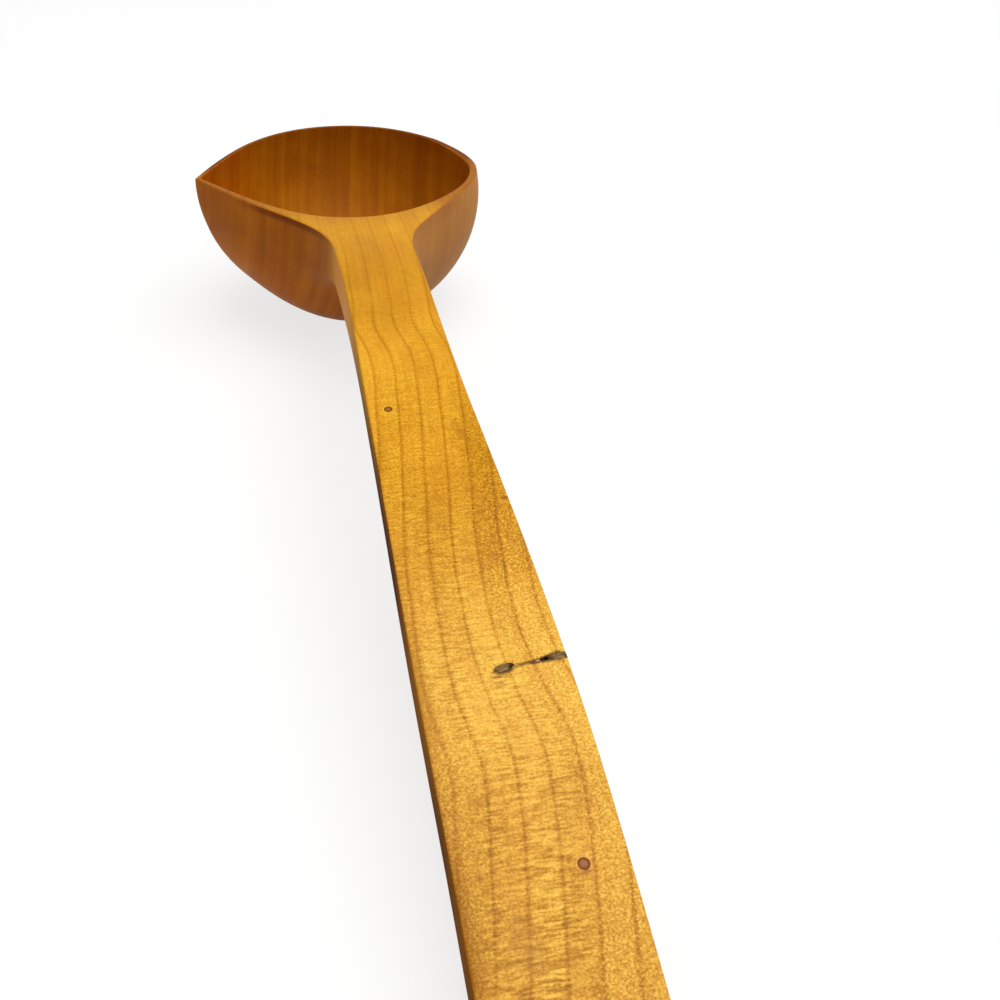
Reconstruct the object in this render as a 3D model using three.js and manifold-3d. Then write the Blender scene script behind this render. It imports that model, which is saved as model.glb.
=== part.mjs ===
// Wooden ladle, carved from one blank, with the small pieces that grew into its handle.
//
// All sizes are millimetres. While it is being shaped, x runs from the middle of the rim
// towards the end of the handle, y runs to the right of someone who holds that end, and z
// is the height above the table. The finished ladle is then moved so that its origin is the
// centre of the flat foot under the bowl.

import * as THREE from 'three';
import { mergeVertices } from 'three/addons/utils/BufferGeometryUtils.js';
import Module from 'manifold-3d';

// Bowl, outside
const rimHeight = 48;
const footCut = 2.5;
const roundReach = 42.5;
const wallFullness = 1;
const wallSteepness = 1.065;
const wallBulge = 0.088;
const lipFade = 1.2;
const footForward = 3.4;
const footAside = 4.1;

// Rim, seen from above
const farReach = 41.8;
const farAside = 4.1;
const nearReach = 40.9;
const nearAside = 2.4;
const heelReach = 44.5;
const heelBack = 1.3;
const lipReach = 45.5;
const lipForward = 3.4;
const lipFarLean = 66.5;
const lipNearLean = 52;
const lipFarStraight = 17.9;
const lipNearStraight = 20.8;
const farRoundness = 0.6;
const heelRoundness = 0.425;
const nearRoundness = 0.45;
const lipSideRoundness = 0.515;
const rimLand = 2.1;
const rimLandSkew = 0.5;
const farRimLand = 1;
const thinnerRimFrom = 95;
const thinRimFrom = 135;

// Bowl, inside
const bowlFloor = 5;
const hollowFullness = 0.95;
const hollowBulge = 0.05;

// Handle: its places are counted from the near side of the rim, its full reach from the middle
const handleReach = 338;
const riseBefore = 3;
const crestPast = 34;
const crestRise = 1.5;
const handleFall = 1.675;
const neckWidth = 22.9;
const neckAside = 1.6;
const gripWidth = 30.9;
const gripAside = 0.35;
const tipAside = -1.2;
const swingPast = 31;
const straightAfter = 110;
const widenPast = 53;
const wideAfter = 209;
const bendPast = 190;
const neckThickness = 13.5;
const gripThickness = 8.5;
const thinnerPast = 39;
const thinAfter = 108;
const undersideRounding = 2;
const neckBlend = 26;
const neckBlendSkew = 4;
const endRounding = 20;
const endFullness = 2.4;
const tipRest = 1.9;

// Pieces grown into the handle, seated in its top face
const farKnotWidth = 1.8;
const nearKnotWidth = 2.1;
const knotTaper = 0.75;
const knotDepth = 3;
const farKnotAlong = 146.7;
const farKnotAcross = -7.1;
const nearKnotAlong = 263.6;
const nearKnotAcross = 7.1;
const pocketDepth = 2.2;
const innerPocketAlong = 224;
const innerPocketStart = 0.5;
const innerPocketLength = 4.2;
const innerPocketWidth = 1.5;
const innerPocketTurn = 13;
const outerPocketAlong = 222.6;
const outerPocketLength = 3.6;
const outerPocketWidth = 1.35;
const outerPocketTurn = 3;
const wormHoleAlong = 222.8;
const wormHoleLength = 2;
const wormHoleWidth = 0.9;
const wormHoleFromEdge = 4.8;
const wormHoleDepth = 2.5;
const seatClearance = 0.08;

// How far a cutting shape passes what it cuts, and the fineness of the facets
const overTheTop = 2;
const pastTheEdge = 0.8;
const sidesAcross = 30;
const fanSteps = 20;
const wallSlices = 10;
const coveSlices = 12;
const neckSlices = 12;
const handleSlices = 22;
const endSlices = 7;
const coveBefore = 9;
const covePast = 5;
const lastSliceTurn = 83.7;
const halvings = 44;
const hollowColumns = 48;
const hollowRings = 13;
const rimSteps = 60;
const knotSides = 14;
const smallCurveSteps = 5;
const tiniest = 1e-9;

const wasm = await Module();
wasm.setup();

// Curves and blends

const ease = (value, from, to) => THREE.MathUtils.smoothstep(value, from, to);

function rimOutline() {
  const far = new THREE.Vector2(-farReach, farAside);
  const heel = new THREE.Vector2(-heelBack, heelReach);
  const near = new THREE.Vector2(nearReach, nearAside);
  const lip = new THREE.Vector2(lipForward, -lipReach);
  const farLean = THREE.MathUtils.degToRad(lipFarLean);
  const nearLean = THREE.MathUtils.degToRad(lipNearLean);
  const rim = new THREE.Path();
  rim.moveTo(far.x, far.y);
  rim.bezierCurveTo(
    far.x, far.y + farRoundness * (heel.y - far.y),
    heel.x - heelRoundness * (heel.x - far.x), heel.y,
    heel.x, heel.y);
  rim.bezierCurveTo(
    heel.x + heelRoundness * (near.x - heel.x), heel.y,
    near.x, near.y + nearRoundness * (heel.y - near.y),
    near.x, near.y);
  rim.bezierCurveTo(
    near.x, near.y - lipSideRoundness * (near.y - lip.y),
    lip.x + lipNearStraight * Math.sin(nearLean), lip.y + lipNearStraight * Math.cos(nearLean),
    lip.x, lip.y);
  rim.bezierCurveTo(
    lip.x - lipFarStraight * Math.sin(farLean), lip.y + lipFarStraight * Math.cos(farLean),
    far.x, far.y - farRoundness * (far.y - lip.y),
    far.x, far.y);
  return rim.getPoints(rimSteps);
}

// The rim as a distance from its middle for every direction, starting at the lip.
const lipDirection = Math.atan2(-lipReach, lipForward);
const turnFromLip = (direction) => {
  const turn = (direction - lipDirection) % (2 * Math.PI);
  return turn < 0 ? turn + 2 * Math.PI : turn;
};
const rimTable = rimOutline()
  .map((point) => ({ turn: turnFromLip(Math.atan2(point.y, point.x)), reach: point.length() }))
  .sort((a, b) => a.turn - b.turn);
rimTable.push({ turn: 2 * Math.PI, reach: rimTable[0].reach });

function rimReach(direction) {
  const turn = turnFromLip(direction);
  let low = 0;
  let high = rimTable.length - 1;
  while (high - low > 1) {
    const middle = (low + high) >> 1;
    if (rimTable[middle].turn > turn) high = middle;
    else low = middle;
  }
  const before = rimTable[low];
  const after = rimTable[high];
  const share = (turn - before.turn) / Math.max(after.turn - before.turn, tiniest);
  return THREE.MathUtils.lerp(before.reach, after.reach, Math.min(share, 1));
}

// The flat land on top of the rim, thinner on the far side. The measured outline is its inner
// edge on the side of the handle and its outer edge on the far side, with the change between
// spread over the ends.
const landWidth = (direction) => THREE.MathUtils.lerp(
  rimLand + rimLandSkew * Math.sin(direction),
  farRimLand,
  ease(THREE.MathUtils.radToDeg(Math.abs(direction)), thinnerRimFrom, thinRimFrom));
const nearness = (direction) => 1 - ease(Math.abs(direction), Math.PI / 3, 2 * Math.PI / 3);
const outerReach = (direction) => rimReach(direction) + landWidth(direction) * nearness(direction);
const hollowReach = (direction) => outerReach(direction) - landWidth(direction);

// A bowl wall narrows with depth: slowly under the rim, then faster towards its lowest point.
// On the way down its middle moves over the foot, and the point of the lip rounds off.
function wallAt(depth, deepest, fullness, bulge) {
  const sine = Math.pow(THREE.MathUtils.clamp(depth / deepest, 0, 1), 1 / wallSteepness);
  const turn = Math.asin(sine) / (Math.PI / 2);
  const share = Math.pow(1 - sine * sine, fullness / 2) * (1 + bulge * Math.sin(Math.PI * turn));
  const rounding = Math.pow(turn, lipFade);
  return { share, rounding, forward: footForward * turn, aside: footAside * turn };
}

// Solid bowl and solid bar as fields: less than zero inside, and about the distance outside

// The round bottom would reach below the table by the cut that makes its flat foot.
const outerWallAt = (z) => wallAt(rimHeight - z, rimHeight + footCut, wallFullness, wallBulge);

function bowlField(x, y, z) {
  const wall = outerWallAt(z);
  const fromX = x - wall.forward;
  const fromY = y - wall.aside;
  const reach = THREE.MathUtils.lerp(outerReach(Math.atan2(fromY, fromX)), roundReach, wall.rounding);
  return Math.hypot(fromX, fromY) - reach * wall.share;
}

const past = (x) => x - nearReach;
const handleTop = (x) => {
  const fall = rimHeight + crestRise - gripThickness + tipRest;
  const share = (past(x) - crestPast) / (handleReach - nearReach - crestPast);
  const rise = crestRise * ease(past(x), -riseBefore, crestPast);
  return rimHeight + rise - fall * Math.pow(Math.max(share, 0), handleFall);
};
const handleThickness = (x) =>
  THREE.MathUtils.lerp(neckThickness, gripThickness, ease(past(x), thinnerPast, thinAfter));
const handleMiddle = (x) => THREE.MathUtils.lerp(
  THREE.MathUtils.lerp(neckAside, gripAside, ease(past(x), swingPast, straightAfter)),
  tipAside,
  ease(past(x), bendPast, handleReach - nearReach));
const roundedEnd = (x) => {
  const into = THREE.MathUtils.clamp((x - handleReach + endRounding) / endRounding, 0, 1);
  return Math.pow(1 - Math.pow(into, endFullness), 1 / endFullness);
};
const handleWidth = (x) =>
  THREE.MathUtils.lerp(neckWidth, gripWidth, ease(past(x), widenPast, wideAfter)) * roundedEnd(x);
const handleRightEdge = (x) => handleMiddle(x) + handleWidth(x) / 2;

// The bar starts inside the bowl, under the middle of the rim.
function barField(x, y, z) {
  const beside = Math.abs(y - handleMiddle(x)) - handleWidth(x) / 2 + undersideRounding;
  const below = handleTop(x) - handleThickness(x) - z + undersideRounding;
  const corner = Math.hypot(Math.max(beside, 0), Math.max(below, 0));
  return Math.max(corner + Math.min(Math.max(beside, below), 0) - undersideRounding, -x);
}

// Where bowl and bar come near each other, the wood between them is carved to a wide cove.
function ladleField(x, y, z) {
  const bowl = bowlField(x, y, z);
  const bar = barField(x, y, z);
  const blend = neckBlend + neckBlendSkew * THREE.MathUtils.clamp(y / nearReach * 2, -1, 1);
  const share = THREE.MathUtils.clamp(0.5 + 0.5 * (bar - bowl) / blend, 0, 1);
  return THREE.MathUtils.lerp(bar, bowl, share) - blend * share * (1 - share);
}

// The outside of the ladle, as rings of points from its left edge, under it, to its right edge

function surfacePoint(start, direction) {
  let inside = 0;
  let outside = 2 * (heelReach + rimHeight);
  for (let pass = 0; pass < halvings; pass += 1) {
    const middle = (inside + outside) / 2;
    const point = start.clone().addScaledVector(direction, middle);
    if (ladleField(point.x, point.y, point.z) < 0) inside = middle;
    else outside = middle;
  }
  return start.clone().addScaledVector(direction, inside);
}

function ringAround(start, down) {
  const left = surfacePoint(start, new THREE.Vector3(0, -1, 0));
  const right = surfacePoint(start, new THREE.Vector3(0, 1, 0));
  const middle = left.clone().lerp(right, 0.5);
  const halfWidth = left.distanceTo(right) / 2;
  const depth = surfacePoint(middle, down).distanceTo(middle);
  const ring = [left];
  for (let step = 1; step < sidesAcross; step += 1) {
    const angle = Math.PI * step / sidesAcross;
    const direction = down.clone().multiplyScalar(depth * Math.sin(angle));
    direction.y = -halfWidth * Math.cos(angle);
    ring.push(surfacePoint(middle, direction.normalize()));
  }
  ring.push(right);
  return ring;
}

// Slices stand close together where the wall under the neck turns into the handle.
function slicePlaces() {
  const places = [];
  const run = (from, to, count) => {
    for (let step = 0; step < count; step += 1) places.push(from + (to - from) * step / count);
  };
  const endStart = handleReach - endRounding;
  run(lipForward, nearReach - coveBefore, wallSlices);
  run(nearReach - coveBefore, nearReach + covePast, coveSlices);
  run(nearReach + covePast, nearReach + thinnerPast, neckSlices);
  run(nearReach + thinnerPast, endStart, handleSlices);
  for (let step = 0; step <= endSlices; step += 1) {
    const angle = THREE.MathUtils.degToRad(lastSliceTurn) * step / endSlices;
    places.push(endStart + endRounding * Math.sin(angle));
  }
  return places;
}

function outsideRings() {
  const rings = [];
  const axis = new THREE.Vector3(lipForward, 0, rimHeight);
  for (let step = fanSteps; step > 0; step -= 1) {
    const tilt = Math.PI / 2 * step / fanSteps;
    rings.push(ringAround(axis, new THREE.Vector3(-Math.sin(tilt), 0, -Math.cos(tilt))));
  }
  for (const place of slicePlaces()) {
    const start = new THREE.Vector3(place, handleMiddle(place), handleTop(place));
    rings.push(ringAround(start, new THREE.Vector3(0, 0, -1)));
  }
  return rings;
}

// Meshes and solids

function skinOver(rings) {
  const positions = rings.flat().flatMap((point) => point.toArray());
  const count = rings[0].length;
  const at = (ring, step) => ring * count + step;
  const triangles = [];
  for (let ring = 0; ring < rings.length - 1; ring += 1) {
    for (let step = 0; step < count - 1; step += 1) {
      triangles.push(at(ring, step), at(ring, step + 1), at(ring + 1, step + 1));
      triangles.push(at(ring, step), at(ring + 1, step + 1), at(ring + 1, step));
    }
    triangles.push(at(ring, count - 1), at(ring, 0), at(ring + 1, 0));
    triangles.push(at(ring, count - 1), at(ring + 1, 0), at(ring + 1, count - 1));
  }
  const last = rings.length - 1;
  for (let step = 1; step < count - 1; step += 1) {
    triangles.push(at(0, 0), at(0, step + 1), at(0, step));
    triangles.push(at(last, 0), at(last, step), at(last, step + 1));
  }
  const geometry = new THREE.BufferGeometry();
  geometry.setAttribute('position', new THREE.Float32BufferAttribute(positions, 3));
  geometry.setIndex(triangles);
  return geometry;
}

function solidFrom(geometry) {
  const bare = geometry.clone();
  bare.deleteAttribute('normal');
  bare.deleteAttribute('uv');
  const merged = mergeVertices(bare, 1e-4);
  const index = merged.index.array;
  const corners = [];
  for (let at = 0; at < index.length; at += 3) {
    const [a, b, c] = [index[at], index[at + 1], index[at + 2]];
    if (a !== b && b !== c && c !== a) corners.push(a, b, c);
  }
  return new wasm.Manifold(new wasm.Mesh({
    numProp: 3,
    vertProperties: new Float32Array(merged.attributes.position.array),
    triVerts: new Uint32Array(corners),
  }));
}

function geometryFrom(solid) {
  const { numProp, vertProperties, triVerts } = solid.getMesh();
  const positions = [];
  for (let at = 0; at < vertProperties.length; at += numProp) {
    positions.push(vertProperties[at], vertProperties[at + 1], vertProperties[at + 2]);
  }
  const geometry = new THREE.BufferGeometry();
  geometry.setAttribute('position', new THREE.Float32BufferAttribute(positions, 3));
  geometry.setIndex(Array.from(triVerts));
  geometry.computeVertexNormals();
  return geometry;
}

// The hollow, with a lid that rises above the rim so that the cut is clean

function hollowShape() {
  const deepest = rimHeight - bowlFloor;
  const rings = [];
  const ringAtDepth = (depth, height) => {
    const wall = wallAt(depth, deepest, hollowFullness, hollowBulge);
    const ring = [];
    for (let column = 0; column < hollowColumns; column += 1) {
      const direction = lipDirection + 2 * Math.PI * column / hollowColumns;
      const heading = Math.atan2(Math.sin(direction), Math.cos(direction));
      const round = roundReach - rimLand;
      const reach = THREE.MathUtils.lerp(hollowReach(heading), round, wall.rounding) * wall.share;
      ring.push(new THREE.Vector3(
        wall.forward + reach * Math.cos(heading), wall.aside + reach * Math.sin(heading), height));
    }
    return ring;
  };
  for (let step = hollowRings - 1; step >= 0; step -= 1) {
    const depth = deepest * Math.sin(Math.PI / 2 * step / hollowRings);
    rings.push(ringAtDepth(depth, rimHeight - depth));
  }
  rings.push(ringAtDepth(0, rimHeight + crestRise + overTheTop));
  return skinOver(rings);
}

// Pieces in the handle's top face: a place on that face, and its tilt along the handle

function onTopFace(x, y, turn = 0) {
  const slope = handleTop(x + 0.5) - handleTop(x - 0.5);
  const tilt = new THREE.Quaternion().setFromAxisAngle(new THREE.Vector3(0, 1, 0), -Math.atan(slope));
  const spin = new THREE.Quaternion().setFromAxisAngle(new THREE.Vector3(0, 0, 1), turn);
  return { position: new THREE.Vector3(x, y, handleTop(x)), quaternion: tilt.multiply(spin) };
}

function settled(geometry, place) {
  const matrix = new THREE.Matrix4().compose(place.position, place.quaternion, new THREE.Vector3(1, 1, 1));
  return geometry.clone().applyMatrix4(matrix);
}

// A pin knot is the stub of a twig: a round peg, narrower towards the heart of the tree.
function knotPeg(width, grow, rise) {
  const bottom = -knotDepth - grow;
  const radiusAt = (z) => width / 2 * (1 + (1 - knotTaper) * z / knotDepth) + grow;
  const peg = new THREE.CylinderGeometry(
    radiusAt(rise), radiusAt(bottom), rise - bottom, knotSides);
  peg.rotateX(Math.PI / 2);
  peg.translate(0, 0, (rise + bottom) / 2);
  return peg;
}

// A bark pocket is a short streak across the grain, pointed at its start and either pointed
// or cut off bluntly at its end, where the handle's edge is.
function pocketShape({ length, width, blunt }, grow, rise) {
  const half = width / 2 + grow;
  const from = -grow;
  const to = length + (blunt && grow > 0 ? pastTheEdge : grow);
  const outline = new THREE.Shape();
  outline.moveTo(0, from);
  outline.quadraticCurveTo(half, from + width / 3, half, from + width);
  if (blunt) {
    outline.lineTo(half, to);
    outline.lineTo(-half, to);
  } else {
    outline.quadraticCurveTo(half, to - width / 4, 0, to);
    outline.quadraticCurveTo(-half, to - width / 4, -half, from + width);
  }
  outline.lineTo(-half, from + width);
  outline.quadraticCurveTo(-half, from + width / 3, 0, from);
  const shape = new THREE.ExtrudeGeometry(outline, {
    depth: pocketDepth + rise + grow, bevelEnabled: false, curveSegments: smallCurveSteps,
  });
  shape.translate(0, 0, -pocketDepth - grow);
  return shape;
}

function openHole(length, width, depth, rise) {
  const outline = new THREE.Shape();
  outline.absellipse(0, 0, width / 2, length / 2, 0, 2 * Math.PI);
  const shape = new THREE.ExtrudeGeometry(outline, {
    depth: depth + rise, bevelEnabled: false, curveSegments: smallCurveSteps,
  });
  shape.translate(0, 0, -depth);
  return shape;
}

// What is set into the handle, each with the seat that is cut for it

const innerPocket = { length: innerPocketLength, width: innerPocketWidth, blunt: false };
const outerPocket = { length: outerPocketLength, width: outerPocketWidth, blunt: true };
const innerTurn = THREE.MathUtils.degToRad(innerPocketTurn);
const outerTurn = THREE.MathUtils.degToRad(outerPocketTurn);
const inlays = [
  {
    name: 'far_pin_knot',
    colour: 0x8a5a1e,
    place: onTopFace(farKnotAlong, farKnotAcross),
    piece: knotPeg(farKnotWidth, 0, 0),
    seat: knotPeg(farKnotWidth, seatClearance, overTheTop),
  },
  {
    name: 'near_pin_knot',
    colour: 0x96602f,
    place: onTopFace(nearKnotAlong, nearKnotAcross),
    piece: knotPeg(nearKnotWidth, 0, 0),
    seat: knotPeg(nearKnotWidth, seatClearance, overTheTop),
  },
  {
    name: 'inner_bark_pocket',
    colour: 0x6f5a3a,
    place: onTopFace(innerPocketAlong, innerPocketStart, innerTurn),
    piece: pocketShape(innerPocket, 0, 0),
    seat: pocketShape(innerPocket, seatClearance, overTheTop),
  },
  {
    name: 'outer_bark_pocket',
    colour: 0x66552f,
    place: onTopFace(
      outerPocketAlong, handleRightEdge(outerPocketAlong) - outerPocketLength, outerTurn),
    piece: pocketShape(outerPocket, 0, 0),
    seat: pocketShape(outerPocket, seatClearance, overTheTop),
  },
];

function carvedBody() {
  const underTable = new THREE.BoxGeometry(4 * handleReach, 4 * lipReach, rimHeight);
  underTable.translate(0, 0, -rimHeight / 2);
  const hole = settled(
    openHole(wormHoleLength, wormHoleWidth, wormHoleDepth, overTheTop),
    onTopFace(wormHoleAlong, handleRightEdge(wormHoleAlong) - wormHoleFromEdge, outerTurn));
  let body = solidFrom(skinOver(outsideRings()))
    .subtract(solidFrom(hollowShape()))
    .subtract(solidFrom(underTable))
    .subtract(solidFrom(hole));
  for (const inlay of inlays) body = body.subtract(solidFrom(settled(inlay.seat, inlay.place)));
  return geometryFrom(body);
}

function pieceOfLadle(name, geometry, colour, roughness) {
  const material = new THREE.MeshStandardMaterial({ color: colour, roughness, metalness: 0 });
  const mesh = new THREE.Mesh(geometry, material);
  mesh.name = name;
  return mesh;
}

// The finished ladle, with its origin at the centre of the foot

const foot = outerWallAt(0);
const ladle = new THREE.Group();
ladle.position.set(-foot.forward, -foot.aside, 0);
ladle.add(pieceOfLadle('carved_body', carvedBody(), 0xd9972e, 0.45));
for (const inlay of inlays) {
  const mesh = pieceOfLadle(inlay.name, inlay.piece, inlay.colour, 0.6);
  mesh.position.copy(inlay.place.position);
  mesh.quaternion.copy(inlay.place.quaternion);
  ladle.add(mesh);
}

export default ladle;
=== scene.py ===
# %% [markdown]
# # A carved wooden ladle
# A ladle like this is cut from one blank of pale hardwood: a round bowl with a pouring lip
# on one side, and a long flat handle that arches down to the table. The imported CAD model
# gives its place and size. This lesson builds a finer skin over it, with eased edges, and
# gives it the look of oiled, figured wood.

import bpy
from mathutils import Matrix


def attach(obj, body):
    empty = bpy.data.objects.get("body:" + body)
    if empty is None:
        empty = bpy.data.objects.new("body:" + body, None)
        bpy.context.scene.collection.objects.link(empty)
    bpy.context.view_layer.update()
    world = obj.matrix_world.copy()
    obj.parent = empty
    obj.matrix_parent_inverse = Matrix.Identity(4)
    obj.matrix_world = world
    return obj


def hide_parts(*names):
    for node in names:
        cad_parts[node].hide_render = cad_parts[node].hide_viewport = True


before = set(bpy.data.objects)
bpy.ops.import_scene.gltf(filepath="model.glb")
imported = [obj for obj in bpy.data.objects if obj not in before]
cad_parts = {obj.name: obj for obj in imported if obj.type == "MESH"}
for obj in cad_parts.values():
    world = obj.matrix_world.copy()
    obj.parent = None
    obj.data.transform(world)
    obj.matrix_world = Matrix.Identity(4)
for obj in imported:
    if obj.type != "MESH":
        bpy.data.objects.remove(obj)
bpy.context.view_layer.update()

# %% [markdown]
# The shapes come from a few smooth formulas, so numpy works out many points at once. All
# sizes below are millimetres, measured from the middle of the bowl's rim: x runs along the
# handle, y to the right of the holder, z up from the table. The model itself is in metres
# from the middle of the foot, so one function moves points there at the end.

# %% Tools
import math

import bmesh
import bpy
import numpy as np
from mathutils import Matrix, Vector
from mathutils.geometry import delaunay_2d_cdt

METRES = 0.001


def mix(start, end, share):
    return start + (end - start) * share


def ease(value, start, end):
    """Goes from 0 to 1 between start and end, with a soft start and a soft stop."""
    share = np.clip((value - start) / (end - start), 0, 1)
    return share * share * (3 - 2 * share)


print("An ease from 0 to 1, in quarters:", [float(ease(share / 4, 0, 1)) for share in range(5)])

# %% [markdown]
# The rim is the outline that the eye knows a ladle by. Four Bezier curves run through its
# far side, its round heel on the right, its near side, and the lip on the left, where two
# of them meet at a point. Each leaves and reaches a point along its rim, pulled by a share
# of the way. From then on the rim is a distance for every heading, because that lets the
# wall below it shrink evenly towards the foot.

# %% The rim, seen from above
rim_height = 48.0
far_side, heel = np.array([-41.8, 4.1]), np.array([-1.3, 44.5])
near_side, lip = np.array([40.9, 2.4]), np.array([3.4, -45.5])
far_pull, heel_pull, near_pull, near_pull_to_lip = 0.6, 0.425, 0.45, 0.515


def bend(start, first_pull, second_pull, end, steps=120):
    t = np.linspace(0, 1, steps, endpoint=False)[:, None]
    return ((1 - t) ** 3 * start + 3 * (1 - t) ** 2 * t * np.array(first_pull)
            + 3 * (1 - t) * t ** 2 * np.array(second_pull) + t ** 3 * end)


def leaning(length, degrees):
    lean = math.radians(degrees)
    return length * np.array([math.sin(lean), math.cos(lean)])


lip_pull_from_near, lip_pull_to_far = leaning(20.8, 52), leaning(17.9, -66.5)
rim = np.vstack([
    bend(far_side, [far_side[0], mix(far_side[1], heel[1], far_pull)],
         [mix(heel[0], far_side[0], heel_pull), heel[1]], heel),
    bend(heel, [mix(heel[0], near_side[0], heel_pull), heel[1]],
         [near_side[0], mix(near_side[1], heel[1], near_pull)], near_side),
    bend(near_side, [near_side[0], mix(near_side[1], lip[1], near_pull_to_lip)],
         lip + lip_pull_from_near, lip),
    bend(lip, lip + lip_pull_to_far,
         [far_side[0], mix(far_side[1], lip[1], far_pull)], far_side),
])
lip_heading = math.atan2(lip[1], lip[0])
rim_turns = (np.arctan2(rim[:, 1], rim[:, 0]) - lip_heading) % math.tau
rim_distances = np.hypot(rim[:, 0], rim[:, 1])


def rim_reach(heading):
    return np.interp(heading - lip_heading, rim_turns, rim_distances, period=math.tau)


print("Rim points:", len(rim), "reach, mm:", rim_distances.min().round(1), "to",
      rim_distances.max().round(1))

# %% [markdown]
# A narrow flat land runs around the top of the rim. Below it the wall goes down steeply,
# bulges a little, and then turns in faster and faster towards the bottom, while its middle
# drifts over the foot and the point of the lip rounds off. One formula serves the outside
# and the hollow, with different depths.

# %% The wall of the bowl
round_reach, foot_cut, bowl_floor = 42.5, 2.5, 5.0
near_land, land_swell, far_land = 2.1, 0.5, 1.0
wall_turn, lip_fade, bottom_drift = 1.065, 1.2, (3.4, 4.1)
outer_fullness, outer_bulge = 1, 0.088


def off_handle(heading):
    """The angle between a heading and the handle, from minus to plus half a turn."""
    return (heading + math.pi) % math.tau - math.pi


def land_width(heading):
    degrees = np.degrees(np.abs(off_handle(heading)))
    return mix(near_land + land_swell * np.sin(heading), far_land, ease(degrees, 95, 135))


def outer_reach(heading):
    off_neck = ease(np.abs(off_handle(heading)), math.pi / 3, 2 * math.pi / 3)
    return rim_reach(heading) + land_width(heading) * (1 - off_neck)


def wall_at(depth, deepest, fullness, bulge):
    """The share of the rim's reach, how round the wall is, and its drift in x and in y."""
    sine = np.clip(depth / deepest, 0, 1) ** (1 / wall_turn)
    turn = np.arcsin(sine) / (math.pi / 2)
    share = (1 - sine ** 2) ** (fullness / 2) * (1 + bulge * np.sin(math.pi * turn))
    return share, turn ** lip_fade, bottom_drift[0] * turn, bottom_drift[1] * turn


def outer_wall_at(height):
    return wall_at(rim_height - height, rim_height + foot_cut, outer_fullness, outer_bulge)


foot_middle = np.array([*outer_wall_at(0)[2:], 0.0])
print("Middle of the foot from the middle of the rim, mm:", foot_middle.round(2))

# %% [markdown]
# The handle is a flat bar. Seen from the side its top rises a little after the rim and
# then falls in one long arch to the table; seen from above it is narrow at the neck and
# wide where it is gripped. Each of these is a curve along x, and each ease gives the
# millimetres past the rim between which the handle changes.

# %% The curves of the handle
handle_reach, last_reach = 338.0, 337.88
end_rounding, end_squareness = 20.0, 2.4
grip_end = handle_reach - end_rounding
neck_rise, fall_starts, whole_fall, arch = 1.5, 34.0, 42.9, 1.675
neck_thickness, grip_thickness = 13.5, 8.5
neck_middle, arch_middle, end_middle = 1.6, 0.35, -1.2
neck_width, grip_width = 22.9, 30.9


def past_rim(x):
    return x - near_side[0]


def top_height(x):
    share = (past_rim(x) - fall_starts) / (past_rim(handle_reach) - fall_starts)
    return (rim_height + neck_rise * ease(past_rim(x), -3, fall_starts)
            - whole_fall * np.maximum(share, 0) ** arch)


def handle_thickness(x):
    return mix(neck_thickness, grip_thickness, ease(past_rim(x), 39, 108))


def handle_middle(x):
    before_grip = mix(neck_middle, arch_middle, ease(past_rim(x), 31, 110))
    return mix(before_grip, end_middle, ease(past_rim(x), 190, 297.1))


def handle_width(x):
    into = np.clip((x - grip_end) / (last_reach - grip_end), 0, 1)
    end_share = (1 - into ** end_squareness) ** (1 / end_squareness)
    return mix(neck_width, grip_width, ease(past_rim(x), 53, 209)) * end_share


def right_edge(x):
    return handle_middle(x) + handle_width(x) / 2


print("Handle width at neck and grip, mm:", [round(float(handle_width(x)), 1) for x in (60, 280)])

# %% [markdown]
# Bowl and bar become fields: a number for any point in space, below zero inside the wood.
# Fields are easy to blend, and the carver's wide cove between bowl and neck is just such a
# blend. The flat foot is the same trick with the table: a soft maximum leaves a small
# rounding where sanding would. Everything stays a hair inside the CAD solid.

# %% Bowl, bar and table as fields
hair_inside, foot_edge_softness, bar_corner = 0.1, 1.2, 2.0
cove_blend, right_cove_extra = 26, 4


def bowl_field(x, y, z):
    share, rounding, forward, aside = outer_wall_at(z)
    reach = mix(outer_reach(np.arctan2(y - aside, x - forward)), round_reach, rounding)
    return np.hypot(x - forward, y - aside) - reach * share


def bar_field(x, y, z):
    beside = np.abs(y - handle_middle(x)) - handle_width(x) / 2 + bar_corner
    below = top_height(x) - handle_thickness(x) - z + bar_corner
    outside = np.hypot(np.maximum(beside, 0), np.maximum(below, 0))
    return np.maximum(outside + np.minimum(np.maximum(beside, below), 0) - bar_corner, -x)


def wood_field(x, y, z):
    bowl, bar = bowl_field(x, y, z), bar_field(x, y, z)
    blend = cove_blend + right_cove_extra * np.clip(2 * y / near_side[0], -1, 1)
    share = np.clip(0.5 + 0.5 * (bar - bowl) / blend, 0, 1)
    wood = mix(bar, bowl, share) - blend * share * (1 - share) + hair_inside
    overlap = np.maximum(foot_edge_softness - np.abs(wood + z), 0)
    return np.maximum(wood, -z) + overlap ** 2 / (4 * foot_edge_softness)


def out_to_surface(start, direction, farthest=185.0, halvings=40):
    """Goes from start along each direction until it leaves the wood."""
    inside = np.zeros(len(direction))
    outside = np.full(len(direction), farthest)
    for _ in range(halvings):
        middle = (inside + outside) / 2
        within = wood_field(*(start + direction * middle[:, None]).T) < 0
        inside = np.where(within, middle, inside)
        outside = np.where(within, outside, middle)
    return start + direction * inside[:, None]


print("Field in the wall and in the air:", wood_field(-41.0, 4.0, 40.0).round(2),
      wood_field(0.0, 0.0, 80.0).round(2))

# %% [markdown]
# The outside skin is a stack of rings, each running from the left edge under the wood to
# the right edge. Over the far half of the bowl they fan out around one axis, and from
# there on they are plain slices, close together where the neck leaves the bowl. The rings
# stop just under the top face, because the edge there gets a rounding of its own.

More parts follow.
